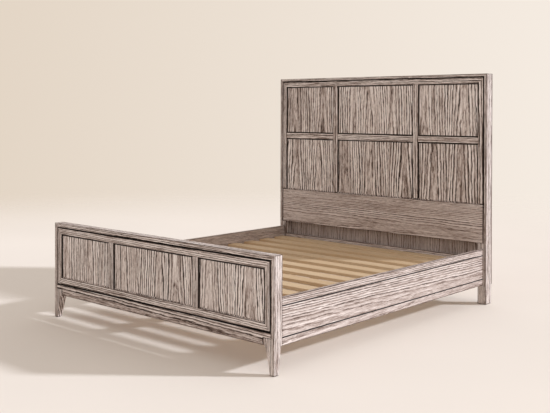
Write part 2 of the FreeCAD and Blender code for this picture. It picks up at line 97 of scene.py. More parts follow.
# Noise of the grain: scale per metre across it and along it, detail and roughness
BEND_NOISE = (3.5, 1.3, 2.0, 0.5)
QUIVER_NOISE = (34.0, 7.0, 3.0, 0.6)
FIBRE_NOISE = (520.0, 20.0, 2.0, 0.6)
BREAK_NOISE = (40.0, 3.5, 2.0, 0.6)
STREAK_NOISE = (70.0, 3.5, 4.0, 0.78)
PATCH_NOISE = (22.0, 1.1, 2.0, 0.5)
PORE_NOISE = (1300.0, 65.0, 1.0, 0.5)

# Spans of each leaf's chance place off the log's centre and along the log, and of its seed
LEAF_OFF_CENTRE = 0.17
LEAF_RUN = 9.0
LEAF_SEEDS = 5.0

# Lines of a growth ring, in shares of its width: a dark line, a limed one after it, and fine ones
FEATHER = 0.55
DARK_LEAST = 0.10
DARK_SPREAD = 0.16
DARK_FADE = (0.0, 0.12)
LIME_RISE = (0.10, 0.22)
LIME_FALL = (0.40, 0.60)
LIMED_SHARE = 0.45
FINE_COUNT = 3.0
FINE_FADE = (0.08, 0.5)
FINE_SHARE = 0.25

# Force of a ring's lines: by chance, broken along the grain, and weak at the tips of arches
FORCE_LEAST = 0.25
FORCE_SPREAD = 0.9
FORCE_BREAKS = 1.8
ARCH_HALF = 0.060
ARCH_LEAST = 0.08

# Pores: where the dashes show, and their share in the dark lines and between them
PORE_FADE = (0.04, 0.16)
PORES_IN_LINES = 0.8
PORES_BETWEEN = 0.2

# How the boards were cut from the log
CROWN_CUT = {
    "Pith Shift": 0.0, "Pith Depth": 0.045, "Ring Width": 0.0160,
    "Wander": 0.045, "Ripple": 0.026, "Taper": 0.036,
}
SIDE_CUT = {
    "Pith Shift": 0.06, "Pith Depth": 0.07, "Ring Width": 0.0080,
    "Wander": 0.030, "Ripple": 0.010, "Taper": 0.014,
}
RIFT_CUT = {
    "Pith Shift": 0.11, "Pith Depth": 0.11, "Ring Width": 0.0095,
    "Wander": 0.020, "Ripple": 0.010, "Taper": 0.008,
}
ONE_LEAF = {"Leaf": 0.60, "Leaf Shift": 0.0}
VENEER_LEAF = 0.24
HEAD_RING_WIDTH = 0.0200

# Which object axes are (across, depth, along) for a board whose grain runs along X, Y or Z
BOARD_AXES = {"X": (2, 1, 0), "Y": (2, 0, 1), "Z": (0, 1, 2)}

# Colours of the timber from its darkest to its palest tone
OAK_STOPS = [
    (0.000, (0.028, 0.016, 0.012)),
    (0.250, (0.056, 0.032, 0.023)),
    (0.375, (0.150, 0.098, 0.074)),
    (0.500, (0.340, 0.258, 0.222)),
    (0.625, (0.560, 0.464, 0.418)),
    (0.750, (0.760, 0.668, 0.618)),
    (1.000, (0.930, 0.840, 0.790)),
]
PINE_STOPS = [
    (0.00, (0.300, 0.165, 0.075)),
    (0.35, (0.500, 0.320, 0.165)),
    (0.70, (0.640, 0.460, 0.280)),
    (1.00, (0.740, 0.590, 0.410)),
]

# Middle tone, weights of the grain's parts, dark arrises and surface of the timbers
GRAIN_PARTS = ("Rings", "Streaks", "Fibre", "Patches", "Pores")
OAK_LOOK = {
    "tone": 0.67, "Rings": -0.90, "Streaks": 1.5, "Fibre": 0.9, "Patches": 0.05, "Pores": -0.20,
    "arris": 0.55, "arris_width": 0.0045, "rough": 0.66, "rough_slope": -0.16, "bump": 0.35, "gloss": 0.35,
}
PINE_LOOK = {
    "tone": 0.74, "Rings": -0.30, "Streaks": 0.45, "Fibre": 0.28, "Patches": 0.30, "Pores": -0.05,
    "arris": 0.12, "arris_width": 0.003, "rough": 0.62, "rough_slope": -0.10, "bump": 0.15, "gloss": 0.30,
}
BUMP_DEPTH = 0.0008

# What solid oak, calm wide boards and the backs change in the look of oak veneer
SOLID_LOOK = {"tone": 0.615, "Rings": -0.80, "Streaks": 1.3}
CALM_LOOK = {"tone": 0.625, "Rings": -0.32, "Streaks": 0.62, "Fibre": 0.7}
QUIET_LOOK = {"tone": 0.61, "Rings": -0.16, "Streaks": 0.5, "Fibre": 0.5}

# Kinds of board, and the steel fittings, by the words in a node's name
SLATS = ("slat_0", "slat_1")
LEVEL_BOARDS = ("top_rail", "bottom_rail", "cross_rail", "lower_board", "stretcher", *SLATS)
LONG_BOARDS = ("side_rail", "slat_cleat", "centre_beam")
PINE_BOARDS = ("slat_", "centre_beam", "centre_leg")
VENEERED = ("_panel_", "back_panel")
CALM_BOARDS = ("side_rail", "lower_board", "stretcher")
QUIET_BOARDS = ("back_panel",)
STEEL_NODES = ("rail_hook_plates", "post_slot_plates", "beam_hangers", "tee_nuts", "levelling_foot")

# Tone and seed from board to board; the footboard's panels share one lift of tone
TONE_STEP = 2.4
TONE_SWING = 0.035
FOOT_PANEL_LIFT = 0.034
SEED_STEP = 1.7

# Painted shade: a dark colour put into the gaps and grooves, where shade falls; depths behind a board's
# front plane, and widths
PAINTED_SHADE_COLOUR = (0.022, 0.016, 0.013, 1.0)
SIDEWAYS_FADE = (0.35, 0.85)
SHADOW_GAP = 0.0085
GAP_START = 0.0010
GAP_END = 0.027
DEEP_START = 0.0095
REVEAL_START = 0.0040
REVEAL_HEIGHT = 0.0410
RAIL_GROOVE_FLOOR = 0.0065
GROOVE_LIP = 0.00005
RAIL_EDGE = 0.020
SILL_CLEAR = 0.017
SILLS = ("inner_bottom_rail", "lower_board")
SILL_PANELS = ("footboard_panel", "headboard_lower_panel")

# Zinc plate and nylon: cloud and grain are (scale, detail), rough (start, slope), bump (strength, depth)
SPANGLE_SCALE = 160.0
SPANGLE_SHARE = 0.35
ZINC_CLOUD = (40.0, 4.0)
ZINC_CLOUD_SHARE = 0.65
ZINC_STOPS = [(0.2, (0.36, 0.37, 0.38)), (0.8, (0.62, 0.63, 0.64))]
ZINC_ROUGH = (0.27, 0.22)
NYLON_GRAIN = (900.0, 3.0)
NYLON_STOPS = [(0.3, (0.020, 0.019, 0.018)), (0.8, (0.050, 0.047, 0.044))]
NYLON_ROUGH = (0.45, 0.20)
NYLON_BUMP = (0.2, 0.0003)

# Screw head, in shares of its radius; the cone below its seat is (radius, height) at both ends
SCREW_COLUMNS = 40
SCREW_ROWS = 15
SCREW_MIDDLE = 0.03
SCREW_CONE = ((0.45, -0.60), (0.98, -0.05))
SLOT_ARM = 0.12
SLOT_REACH = 0.60
SLOT_SOFT = 0.10
RECESS_DEPTH = 0.55
RECESS_RISE = 0.35

# Screws: (radius, dome) of each kind, how many, and how far in from the edges
SLAT_SCREW = (0.0042, 0.0007)
SLAT_SCREW_OFF = 0.026
CLEAT_SCREW = (0.0045, 0.0008)
CLEAT_SCREW_COUNT = 8
CLEAT_SCREW_END = 0.120
HANGER_SCREW = (0.0046, 0.0022)
HANGER_SCREW_IN = 0.013
HANGER_SCREW_LOW = 0.005
HANGER_SCREW_HIGH = 0.020
HANGER_GAUGE = 0.0025
HANGER_PLAY = 0.0003
CHEEK_SCREW_IN = 0.030
CHEEK_SCREW_UP = 0.030
FORK_SCREW = (0.0050, 0.0022)
FORK_SCREW_DROPS = (0.011, 0.029)
HEAD_BACK_SCREW = (0.0040, 0.0008)
HEAD_BACK_IN = 0.022
HEAD_BACK_LOW = 0.050
HEAD_BACK_RISE_COUNT = 8
HEAD_BACK_ROW_COUNT = 9
FOOT_BACK_SCREW = (0.0030, 0.0005)
FOOT_BACK_IN = 0.0062
FOOT_BACK_ROW_COUNT = 9

# Levelling foot: heights above its sole and distances from its axis
FOOT_COLUMNS = 48
FOOT_SOLE_IN = 0.004
FOOT_ROUND = 0.0015
FOOT_ROUND_STEPS = 6
FOOT_TOP = 0.0055
NECK_RADII = (0.0105, 0.0090)
NECK_LEVELS = (0.0072, 0.0078)
HEX_APOTHEM = 0.0065
HEX_CHAMFER = 0.0069
HEX_TOP_RADIUS = 0.0050
HEX_LEVELS = (0.0078, 0.0104, 0.0110, 0.0112)
STUD_RADIUS = 0.0040
STUD_STOP = 0.0012
THREAD_DEPTH = 0.00065
THREAD_RUN_IN = 0.002
THREAD_FLANK = 1.15
PITCH = 0.00125
STEPS_PER_TURN = 6
TIP_RADIUS = 0.0026
TIP_HEIGHT = 0.0008
CREASE_ANGLE = math.radians(40.0)


def put(tree, kind, inputs=(), **settings):
    """Add a node, set its properties, and link or set its inputs given as (socket, value) pairs."""
    node = tree.nodes.new(kind)
    for key, value in settings.items():
        setattr(node, key, value)
    for socket, value in inputs:
        if isinstance(value, bpy.types.NodeSocket):
            tree.links.new(value, node.inputs[socket])
        else:
            node.inputs[socket].default_value = value
    return node


def calc(tree, operation, first, second=0.0, third=0.0):
    """Output socket of a Math node on sockets or numbers."""
    node = put(tree, "ShaderNodeMath", [(0, first), (1, second), (2, third)], operation=operation)
    return node.outputs[0]


def vector_calc(tree, operation, first, second=ZERO, output=0):
    """Output socket of a Vector Math node."""
    node = put(tree, "ShaderNodeVectorMath", [(0, first), (1, second)], operation=operation)
    return node.outputs[output]


def parts_of(tree, vector):
    """The three number sockets of a vector."""
    return put(tree, "ShaderNodeSeparateXYZ", [(0, vector)]).outputs


def object_place(tree):
    """Socket of a point's place in the object's own axes."""
    return put(tree, "ShaderNodeTexCoord").outputs["Object"]


def even_noise(tree, scale, detail):
    """Noise with one scale in all directions, in the object's own axes."""
    settings = [("Vector", object_place(tree)), ("Scale", scale), ("Detail", detail)]
    return put(tree, "ShaderNodeTexNoise", settings).outputs[0]


def fade(tree, value, start, end, first=0.0, last=1.0):
    """Smooth step: first up to start, last from end on."""
    ends = [("From Min", start), ("From Max", end), ("To Min", first), ("To Max", last)]
    node = put(tree, "ShaderNodeMapRange", [("Value", value), *ends], interpolation_type="SMOOTHSTEP")
    return node.outputs[0]


def ramp(tree, value, stops):
    """Colour ramp output; stops are (position, linear colour)."""
    node = put(tree, "ShaderNodeValToRGB", [(0, value)])
    band = node.color_ramp.elements
    while len(band) < len(stops):
        band.new(1.0)
    for element, (position, colour) in zip(band, stops):
        element.position = position
        element.color = (*colour, 1.0)
    return node.outputs[0]


def new_group(name, inputs, outputs):
    """New shader group as (tree, input sockets); inputs are (name, kind, start), outputs names."""
    tree = bpy.data.node_groups.new(name, "ShaderNodeTree")
    for label, kind, start in inputs:
        socket = tree.interface.new_socket(label, in_out="INPUT", socket_type="NodeSocket" + kind)
        socket.default_value = start
    for label in outputs:
        tree.interface.new_socket(label, in_out="OUTPUT", socket_type="NodeSocketFloat")
    return tree, put(tree, "NodeGroupInput").outputs


def place_group(tree, group, values):
    """Put a group into a material, with its inputs linked or set by name."""
    return put(tree, "ShaderNodeGroup", values.items(), node_tree=group).outputs


def new_material(name):
    """Empty node material with its Principled shader, as (material, tree, shader)."""
    material = bpy.data.materials.new(name)
    material.use_nodes = True
    tree = material.node_tree
    return material, tree, tree.nodes["Principled BSDF"]


def stretched_noise(tree, axes, seed, cross_scale, along_scale, detail, roughness):
    """Noise, centred on zero, at (across, depth, along) with scales per metre."""
    scales = (cross_scale, cross_scale, along_scale)
    scaled = [calc(tree, "MULTIPLY", part, scale) for part, scale in zip(axes, scales)]
    place = put(tree, "ShaderNodeCombineXYZ", list(enumerate(scaled))).outputs[0]
    noise = put(
        tree, "ShaderNodeTexNoise",
        [("Vector", place), ("W", seed), ("Scale", 1.0), ("Detail", detail), ("Roughness", roughness)],
        noise_dimensions="4D")
    return calc(tree, "SUBTRACT", noise.outputs[0], 0.5)


def chance_at(tree, first, second):
    """Three random numbers from 0 to 1 that belong to a pair of numbers."""
    key = put(tree, "ShaderNodeCombineXYZ", [(0, first), (1, second)]).outputs[0]
    noise = put(tree, "ShaderNodeTexWhiteNoise", [("Vector", key)], noise_dimensions="3D")
    return parts_of(tree, noise.outputs["Color"])


def leaf_axes(tree, given):
    """A point's (across, depth, along) in the leaf that it lies in, and the leaf's seed."""
    across, depth, along = parts_of(tree, given["Board"])
    leaf_place = calc(tree, "ADD", calc(tree, "DIVIDE", across, given["Leaf"]), given["Leaf Shift"])
    leaf_place = calc(tree, "ADD", leaf_place, 0.5)
    chances = chance_at(tree, calc(tree, "FLOOR", leaf_place), given["Seed"])
    leaf_share = calc(tree, "SUBTRACT", calc(tree, "FRACT", leaf_place), 0.5)
    off_centre = calc(tree, "MULTIPLY", calc(tree, "SUBTRACT", chances[0], 0.5), LEAF_OFF_CENTRE)
    leaf_across = calc(tree, "MULTIPLY_ADD", leaf_share, given["Leaf"], off_centre)
    leaf_along = calc(tree, "MULTIPLY_ADD", chances[1], LEAF_RUN, along)
    seed = calc(tree, "MULTIPLY_ADD", chances[2], LEAF_SEEDS, given["Seed"])
    return (leaf_across, depth, leaf_along), seed


def ring_place(tree, given, axes, seed):
    """How many rings out from the pith a point lies, and how far beside the pith."""
    across, depth, along = axes
    beside = calc(tree, "ADD", across, given["Pith Shift"])
    behind = calc(tree, "ADD", depth, given["Pith Depth"])
    square = calc(tree, "MULTIPLY_ADD", beside, beside, calc(tree, "MULTIPLY", behind, behind))
    bend = calc(tree, "MULTIPLY", stretched_noise(tree, axes, seed, *BEND_NOISE), given["Wander"])
    ripple = calc(tree, "MULTIPLY", stretched_noise(tree, axes, seed, *QUIVER_NOISE), given["Ripple"])
    reach = calc(tree, "ADD", calc(tree, "ADD", calc(tree, "SQRT", square), bend), ripple)
    tapered = calc(tree, "MULTIPLY_ADD", along, given["Taper"], reach)
    return calc(tree, "DIVIDE", tapered, given["Ring Width"]), beside


def ring_lines(tree, phase, beside, axes, seed):
    """Lines of the rings at a phase counted in rings: above zero where dark, below where limed."""
    chances = chance_at(tree, calc(tree, "FLOOR", phase), seed)
    place = calc(tree, "FRACT", phase)
    thick = calc(tree, "MULTIPLY_ADD", chances[1], DARK_SPREAD, DARK_LEAST)

    def edge(ends, first, last):
        start, end = [calc(tree, "ADD", thick, share) for share in ends]
        return fade(tree, place, start, end, first, last)

    limed = calc(tree, "MULTIPLY", edge(LIME_RISE, 0.0, 1.0), edge(LIME_FALL, 1.0, 0.0))
    line = calc(tree, "MULTIPLY_ADD", limed, -LIMED_SHARE, edge(DARK_FADE, 1.0, 0.0))
    own_force = calc(tree, "MULTIPLY_ADD", chances[0], FORCE_SPREAD, FORCE_LEAST)
    breaks = stretched_noise(tree, axes, seed, *BREAK_NOISE)
    force = calc(tree, "MULTIPLY_ADD", breaks, FORCE_BREAKS, own_force)
    arch_tip = fade(tree, calc(tree, "ABSOLUTE", beside), 0.0, ARCH_HALF, ARCH_LEAST, 1.0)
    strength = calc(tree, "MULTIPLY", calc(tree, "MAXIMUM", force, 0.0), arch_tip)
    fine_place = calc(tree, "FRACT", calc(tree, "MULTIPLY", phase, FINE_COUNT))
    fine = fade(tree, fine_place, *FINE_FADE, 1.0, 0.0)
    return calc(tree, "MULTIPLY_ADD", fine, FINE_SHARE, calc(tree, "MULTIPLY", line, strength))


def sawn_grain_group():
    """Grain of a sawn board or of veneer leaves laid side by side.

    Board is (across, depth, along) in metres from the board's middle. Growth rings are circles about
    a pith line behind and beside the face: cut close to the pith they make nested arches, and cut
    far from it straight lines. The log tapers along the board, slow noise bends it and quick noise
    ripples it. Each ring starts with a dark line of its own force and a pale limed line beside it,
    feathered by the fibre. Streaks, fibre, patches and pores are noise stretched along the grain.
    """
    numbers = (
        ("Seed", 0.0), ("Leaf", 0.3), ("Leaf Shift", 0.0), ("Pith Shift", 0.0), ("Pith Depth", 0.05),
        ("Ring Width", 0.012), ("Wander", 0.05), ("Ripple", 0.012), ("Taper", 0.05))
    inputs = [("Board", "Vector", ZERO)] + [(name, "Float", start) for name, start in numbers]
    tree, given = new_group("sawn_grain", inputs, GRAIN_PARTS)
    axes, seed = leaf_axes(tree, given)
    rings_out, beside = ring_place(tree, given, axes, seed)
    fibre = stretched_noise(tree, axes, seed, *FIBRE_NOISE)
    phase = calc(tree, "MULTIPLY_ADD", fibre, FEATHER, rings_out)
    rings = ring_lines(tree, phase, beside, axes, seed)
    dashes = fade(tree, stretched_noise(tree, axes, seed, *PORE_NOISE), *PORE_FADE)
    in_lines = calc(tree, "MAXIMUM", rings, 0.0)
    pore_share = calc(tree, "MULTIPLY_ADD", in_lines, PORES_IN_LINES, PORES_BETWEEN)
    put(tree, "NodeGroupOutput", [
        ("Rings", rings),
        ("Streaks", stretched_noise(tree, axes, seed, *STREAK_NOISE)),
        ("Fibre", fibre),
        ("Patches", stretched_noise(tree, axes, seed, *PATCH_NOISE)),
        ("Pores", calc(tree, "MULTIPLY", dashes, pore_share)),
    ])
    return tree


def arris_group():
    """Mask of the arrises of a box-shaped board.

    Room is how far a point lies inside each pair of faces, half the size less the distance from the
    middle. On a face the least room is zero, so along an arris the second least is small too.
    """
    inputs = [("Local", "Vector", ZERO), ("Half", "Vector", ZERO), ("Width", "Float", 0.003)]
    tree, given = new_group("arris_line", inputs, ("Arris",))
    room = vector_calc(tree, "SUBTRACT", given["Half"], vector_calc(tree, "ABSOLUTE", given["Local"]))
    a, b, c = parts_of(tree, room)
    low_pair = calc(tree, "MINIMUM", a, b)
    high_pair = calc(tree, "MAXIMUM", a, b)
    second = calc(tree, "MAXIMUM", low_pair, calc(tree, "MINIMUM", high_pair, c))
    put(tree, "NodeGroupOutput", [("Arris", fade(tree, second, 0.0, given["Width"], 1.0, 0.0))])
    return tree


def gap_painted_shade_group():
    """Painted shade in the gaps of a board: the walls inside one box and all that lies in another.

    A point is inside a box when the largest of |place - middle| - half is below zero. A wall is a
    face that looks sideways, so its Facing, the normal along the board's depth, is small.
    """
    vectors = ("Place", "Wall Middle", "Wall Half", "Deep Middle", "Deep Half")
    inputs = [(name, "Vector", ZERO) for name in vectors] + [("Facing", "Float", 0.0)]
    tree, given = new_group("gap_painted_shade", inputs, ("Painted Shade",))

    def inside(part):
        off = vector_calc(tree, "SUBTRACT", given["Place"], given[part + " Middle"])
        over = vector_calc(tree, "SUBTRACT", vector_calc(tree, "ABSOLUTE", off), given[part + " Half"])
        a, b, c = parts_of(tree, over)
        return calc(tree, "LESS_THAN", calc(tree, "MAXIMUM", calc(tree, "MAXIMUM", a, b), c), 0.0)

    sideways = fade(tree, calc(tree, "ABSOLUTE", given["Facing"]), *SIDEWAYS_FADE, 1.0, 0.0)
    walls = calc(tree, "MULTIPLY", inside("Wall"), sideways)
    put(tree, "NodeGroupOutput", [("Painted Shade", calc(tree, "MAXIMUM", walls, inside("Deep")))])
    return tree


SAWN_GRAIN = sawn_grain_group()
ARRIS_LINE = arris_group()
GAP_PAINTED_SHADE = gap_painted_shade_group()


def middle_and_half(low, high):
    """Middle and half size of the box between two corners."""
    middle = tuple((a + b) / 2 for a, b in zip(low, high))
    half = tuple((b - a) / 2 for a, b in zip(low, high))
    return middle, half


def painted_shaded(tree, colour, gaps):
    """Colour with painted shade in a board's gaps; gaps holds the two boxes and the depth axis."""
    normal = put(tree, "ShaderNodeNewGeometry").outputs["Normal"]
    values = {"Place": object_place(tree), "Facing": parts_of(tree, normal)[gaps["axis"]]}
    for part in ("Wall", "Deep"):
        values[part + " Middle"], values[part + " Half"] = middle_and_half(*gaps[part])
    # painted shade: the mask mixes a dark colour into the gaps where shade falls
    painted_shade = place_group(tree, GAP_PAINTED_SHADE, values)["Painted Shade"]
    bare, dark = MIX_COLOURS
    inputs = [("Factor", painted_shade), (bare, colour), (dark, PAINTED_SHADE_COLOUR)]
    return put(tree, "ShaderNodeMix", inputs, data_type="RGBA").outputs[MIX_RESULT]


def timber(name, box, grain, seed, stops, look, gaps):
    """Sawn timber with its own cut of the grain, with painted shade in its gaps if it has any.

    The tone is a sum of the grain's outputs and the dark line along the arrises: look gives the
    middle tone and the weight of each.
    """
    material, tree, shader = new_material(name)
    middle, half = middle_and_half(*box)
    local = vector_calc(tree, "SUBTRACT", object_place(tree), middle)
    axes = parts_of(tree, local)
    turned = [(place, axes[axis]) for place, axis in enumerate(BOARD_AXES[grain])]
    board = put(tree, "ShaderNodeCombineXYZ", turned).outputs[0]
    cut = place_group(tree, SAWN_GRAIN, {"Board": board, "Seed": seed, **look["cut"]})
    edges = {"Local": local, "Half": half, "Width": look["arris_width"]}
    arris = place_group(tree, ARRIS_LINE, edges)["Arris"]
    tone = calc(tree, "MULTIPLY_ADD", arris, -look["arris"], look["tone"])
    for part in GRAIN_PARTS:
        tone = calc(tree, "MULTIPLY_ADD", cut[part], look[part], tone)
    colour = ramp(tree, tone, stops)
    # painted shade: darken the gaps and grooves where shade falls in them
    if gaps:
        colour = painted_shaded(tree, colour, gaps)
    tree.links.new(colour, shader.inputs["Base Color"])
    rough = calc(tree, "MULTIPLY_ADD", tone, look["rough_slope"], look["rough"])
    tree.links.new(rough, shader.inputs["Roughness"])
    relief = [("Height", tone), ("Strength", look["bump"]), ("Distance", BUMP_DEPTH)]
    tree.links.new(put(tree, "ShaderNodeBump", relief).outputs[0], shader.inputs["Normal"])
    shader.inputs["Specular IOR Level"].default_value = look["gloss"]
    return material


def named(node, words):
    """Whether a node's name holds one of the words."""
    return any(word in node for word in words)


def grain_of(node):
    """Axis that a board's grain follows."""
    if node.startswith(LONG_BOARDS):
        return "Y"
    if named(node, LEVEL_BOARDS):
        return "X"
    return "Z"


def cut_of(node, width):
    """How a board was cut: veneer in leaves over the pith, slats near it, the rest far from it."""
    if named(node, VENEERED):
        leaves = max(1, round(width / VENEER_LEAF))
        veneer = {**CROWN_CUT, "Leaf": width / leaves, "Leaf Shift": 0.0 if leaves % 2 else 0.5}
        if node.startswith("headboard"):
            veneer["Ring Width"] = HEAD_RING_WIDTH
        return veneer
    if named(node, SLATS):
        return {**SIDE_CUT, **ONE_LEAF}
    return {**RIFT_CUT, **ONE_LEAF}


def board_gaps(end):
    """Painted-shade boxes of the headboard or footboard, behind its front plane and inside its rim."""
    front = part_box(end + "_post_right")[0].y
    stile_low, stile_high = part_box(end + "_inner_stile_right")
    side = stile_high.x + SHADOW_GAP
    low_z = stile_low.z - 2 * SHADOW_GAP
    high_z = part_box(end + "_inner_top_rail")[1].z + SHADOW_GAP
    walls = ((-side, front + GAP_START, low_z), (side, front + GAP_END, high_z))
    deep = ((-side, front + DEEP_START, low_z), (side, front + GAP_END, high_z))
    return {"axis": 1, "Wall": walls, "Deep": deep}


def reveal_gaps(gaps):
    """Painted-shade boxes of the footboard's bottom rail, with the reveal round the legs' blocks."""
    low_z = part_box("footboard_bottom_rail")[0].z + ARRIS
    (x0, y0, _), wall_high = gaps["Wall"]
    front = y0 - GAP_START
    deep = ((x0, front + REVEAL_START, low_z), (-x0, front + GAP_END, low_z + REVEAL_HEIGHT))
    return {"axis": 1, "Wall": ((x0, y0, low_z), wall_high), "Deep": deep}


def rail_gaps(node):
    """Painted-shade boxes of a side rail: the grooves in its outer face."""
    low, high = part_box(node)
    outward = 1.0 if high.x > 0 else -1.0
    face = max(abs(low.x), abs(high.x))
    ends = sorted((outward * (face - RAIL_GROOVE_FLOOR), outward * (face - GROOVE_LIP)))
    groove = ((ends[0], low.y, low.z + RAIL_EDGE), (ends[1], high.y, high.z - RAIL_EDGE))
    return {"axis": 0, "Wall": groove, "Deep": groove}


def open_sill(node, gaps):
    """Painted-shade boxes cut short at a panel's lower edge, which faces the light and keeps its colour.
    """
    low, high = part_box(node)
    cut = dict(gaps)
    for name in ("Wall", "Deep"):
        (x0, y0, z0), (x1, y1, z1) = gaps[name]
        if node.startswith(SILL_PANELS):
            z0 = max(z0, low.z + SILL_CLEAR)
        else:
            z1 = min(z1, high.z - SILL_CLEAR)
        cut[name] = ((x0, y0, z0), (x1, y1, z1))
    return cut


GAPS = {"headboard": board_gaps("headboard"), "footboard": board_gaps("footboard")}


def gaps_of(node):
    """Where a node has painted shade in its gaps, or None."""
    if node.startswith("side_rail"):
        return rail_gaps(node)
    if node == "footboard_bottom_rail":
        return reveal_gaps(GAPS["footboard"])
    gaps = GAPS.get(node.split("_")[0])
    if node.startswith(SILL_PANELS) or node.endswith(SILLS):
        return open_sill(node, gaps)
    return gaps


def timber_for(node, number):
    """Material of one board: its own box, grain axis, cut, tone and seed."""
    low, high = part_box(node)
    pine = node.startswith(PINE_BOARDS)
    look = dict(PINE_LOOK if pine else OAK_LOOK)
    look["cut"] = cut_of(node, high.x - low.x)
    if not pine and not named(node, VENEERED):
        look.update(SOLID_LOOK)
    if named(node, CALM_BOARDS):
        look.update(CALM_LOOK)
    if named(node, QUIET_BOARDS):
        look.update(QUIET_LOOK)
    if node.startswith("footboard_panel"):
        look["tone"] += FOOT_PANEL_LIFT
    else:
        look["tone"] += TONE_SWING * math.sin(TONE_STEP * number)
    stops = PINE_STOPS if pine else OAK_STOPS
    seed = SEED_STEP * number
    return timber("timber_" + node, (low, high), grain_of(node), seed, stops, look, gaps_of(node))


def zinc_plate():
    """Zinc-plated steel: a blotchy spangle, fairly smooth."""
    material, tree, shader = new_material("zinc_plate")
    cells = [("Vector", object_place(tree)), ("Scale", SPANGLE_SCALE)]
    spangle = parts_of(tree, put(tree, "ShaderNodeTexVoronoi", cells).outputs["Color"])[0]
    cloud = calc(tree, "MULTIPLY", even_noise(tree, *ZINC_CLOUD), ZINC_CLOUD_SHARE)
    tone = calc(tree, "MULTIPLY_ADD", spangle, SPANGLE_SHARE, cloud)
    tree.links.new(ramp(tree, tone, ZINC_STOPS), shader.inputs["Base Color"])
    start, slope = ZINC_ROUGH
    tree.links.new(calc(tree, "MULTIPLY_ADD", tone, slope, start), shader.inputs["Roughness"])
    shader.inputs["Metallic"].default_value = 1.0
    return material


def dark_nylon():
    """Moulded dark nylon with a fine grain."""
    material, tree, shader = new_material("dark_nylon")
    grain = even_noise(tree, *NYLON_GRAIN)
    tree.links.new(ramp(tree, grain, NYLON_STOPS), shader.inputs["Base Color"])
    start, slope = NYLON_ROUGH
    tree.links.new(calc(tree, "MULTIPLY_ADD", grain, slope, start), shader.inputs["Roughness"])
    strength, depth = NYLON_BUMP
    relief = [("Height", grain), ("Strength", strength), ("Distance", depth)]
    tree.links.new(put(tree, "ShaderNodeBump", relief).outputs[0], shader.inputs["Normal"])
    return material


ZINC = zinc_plate()
NYLON = dark_nylon()


def ease_edges(piece):
    """Round the arrises of a board: merge the corners, join flat facets, bevel what is left."""
    weld = piece.modifiers.new("weld", "WELD")
    weld.merge_threshold = WELD
    flat = piece.modifiers.new("flat", "DECIMATE")
    flat.decimate_type = "DISSOLVE"
    flat.angle_limit = FLAT_ANGLE
    bevel = piece.modifiers.new("arris", "BEVEL")
    bevel.width = ARRIS
    bevel.segments = ARRIS_STEPS
    bevel.limit_method = "ANGLE"
    bevel.angle_limit = CORNER_ANGLE
    bevel.harden_normals = False
    piece.modifiers.new("even", "WEIGHTED_NORMAL")


def dress_frame():
    """Give every node its finish, and the boards their eased edges."""
    for number, node in enumerate(sorted(NODES)):
        piece = NODES[node]
        piece.data.materials.clear()
        if node.startswith(STEEL_NODES):
            piece.data.materials.append(ZINC)
        elif node == "leg_glides":
            piece.data.materials.append(NYLON)
        else:
            piece.data.materials.append(timber_for(node, number))
            ease_edges(piece)


def round_angles(columns):
    """Evenly spaced angles of a full turn."""
    return np.linspace(0.0, FULL_TURN, columns, endpoint=False)


def smooth(value):
    """Smooth step of an array from 0 at 0 to 1 at 1."""
    share = np.clip(value, 0.0, 1.0)
    return share * share * (3.0 - 2.0 * share)


def grid_faces(rows, columns):
    """Quads of a rows x columns grid of points, closed round the columns, as an index array."""
    row, column = np.meshgrid(np.arange(rows - 1), np.arange(columns), indexing="ij")
    here = row * columns + column
    after = row * columns + (column + 1) % columns
    quads = (here, after, after + columns, here + columns)
    return np.stack([quad.ravel() for quad in quads], axis=1)


def mesh_piece(name, points, faces, material):
    """Smooth mesh object from an (n, 3) point array and a list of face index arrays, at the origin."""
    mesh = bpy.data.meshes.new(name)
    mesh.from_pydata(points.tolist(), [], [face for block in faces for face in block.tolist()])
    mesh.materials.append(material)
    mesh.polygons.foreach_set("use_smooth", np.full(len(mesh.polygons), True))
    mesh.update()
    piece = bpy.data.objects.new(name, mesh)
    bpy.context.scene.collection.objects.link(piece)
    return piece


def lathe(radius, height, columns):
    """Closed turned body: rows of points at (radius, height) round Z, capped flat at both ends.

    radius and height may have one value per row, or one per row and column.
    """
    angle = round_angles(columns)
    rows = len(height)
    reach = np.broadcast_to(radius.reshape(rows, -1), (rows, columns))
    level = np.broadcast_to(height.reshape(rows, -1), (rows, columns))
    points = np.stack([reach * np.cos(angle), reach * np.sin(angle), level], axis=2)
    bottom = np.arange(columns)[None, ::-1]
    top = np.arange(columns)[None, :] + (rows - 1) * columns
    return points.reshape(-1, 3), [grid_faces(rows, columns), bottom, top]


def copies(shape, spots, outward):
    """A shape set on each spot, its Z axis turned to outward and turned about it by the golden angle."""
    points, faces = shape
    out = np.asarray(outward, dtype=float)
    side = np.cross(out, (0.0, 0.0, 1.0) if abs(out[2]) < 0.5 else (0.0, 1.0, 0.0))
    basis = np.stack([side, np.cross(out, side), out])
    turn = GOLDEN_ANGLE * np.arange(len(spots))[:, None]
    x = points[:, 0] * np.cos(turn) - points[:, 1] * np.sin(turn)
    y = points[:, 0] * np.sin(turn) + points[:, 1] * np.cos(turn)
    z = np.broadcast_to(points[:, 2], x.shape)
    placed = np.stack([x, y, z], axis=2) @ basis + np.asarray(spots)[:, None, :]
    step = len(points) * np.arange(len(spots))[:, None, None]
    return placed.reshape(-1, 3), [(block[None] + step).reshape(-1, block.shape[1]) for block in faces]


def joined(shapes):
    """Several shapes as one set of points and faces."""
    starts = np.cumsum([0] + [len(points) for points, _ in shapes])
    faces = [block + start for (_, blocks), start in zip(shapes, starts) for block in blocks]
    return np.concatenate([points for points, _ in shapes]), faces


